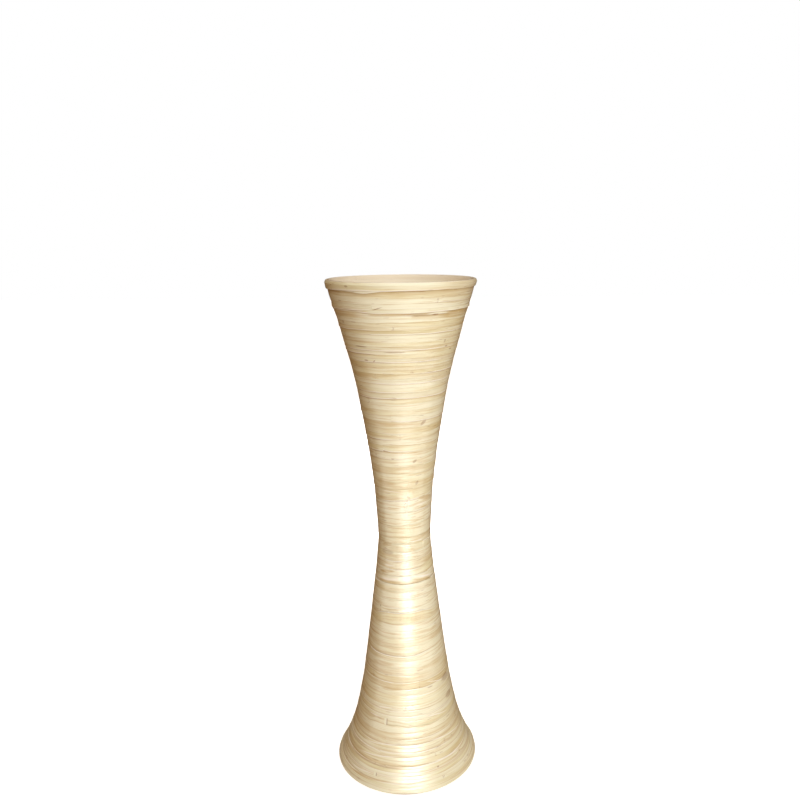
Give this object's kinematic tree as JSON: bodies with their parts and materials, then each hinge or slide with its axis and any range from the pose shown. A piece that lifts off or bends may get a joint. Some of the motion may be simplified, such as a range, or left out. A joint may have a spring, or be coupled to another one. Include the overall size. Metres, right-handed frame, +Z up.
{
  "type": "bamboo vase",
  "caption": "Tall hourglass vase wound from flat bamboo strip, with a flared mouth and foot, a narrow glued waist over an inner sleeve, and a coiled disc closing the foot.",
  "frame": {"origin": "centre of the foot, on the plane the vase stands on", "axes": "+Z up along the vase's axis; the vase is round, and -Y faces the viewer of the picture"},
  "size_m": [0.1486, 0.1493, 0.508],
  "materials": {
    "lacquered_strip": "clear gloss lacquer over sanded bamboo strip, fibres along the strip",
    "base_coil": "clear matt lacquer over sanded bamboo strip on edge",
    "bare_bamboo": "bare, sanded"
  },
  "bodies": {
    "root": {"upper_strip_1": "lacquered_strip", "upper_strip_2": "lacquered_strip", "upper_strip_3": "lacquered_strip", "upper_strip_4": "lacquered_strip", "upper_strip_5": "lacquered_strip", "upper_strip_6": "lacquered_strip", "upper_strip_7": "lacquered_strip", "upper_strip_8": "lacquered_strip", "upper_strip_9": "lacquered_strip", "upper_strip_10": "lacquered_strip", "rim_strip": "lacquered_strip", "lower_strip_1": "lacquered_strip", "lower_strip_2": "lacquered_strip", "lower_strip_3": "lacquered_strip", "lower_strip_4": "lacquered_strip", "lower_strip_5": "lacquered_strip", "lower_strip_6": "lacquered_strip", "lower_strip_7": "lacquered_strip", "lower_strip_8": "lacquered_strip", "lower_strip_9": "lacquered_strip", "lower_strip_10": "lacquered_strip", "foot_strip": "lacquered_strip", "waist_sleeve": "bare_bamboo", "base_strip_1": "base_coil", "base_strip_2": "base_coil", "base_strip_3": "base_coil", "base_core": "base_coil"}
  },
  "joints": []
}
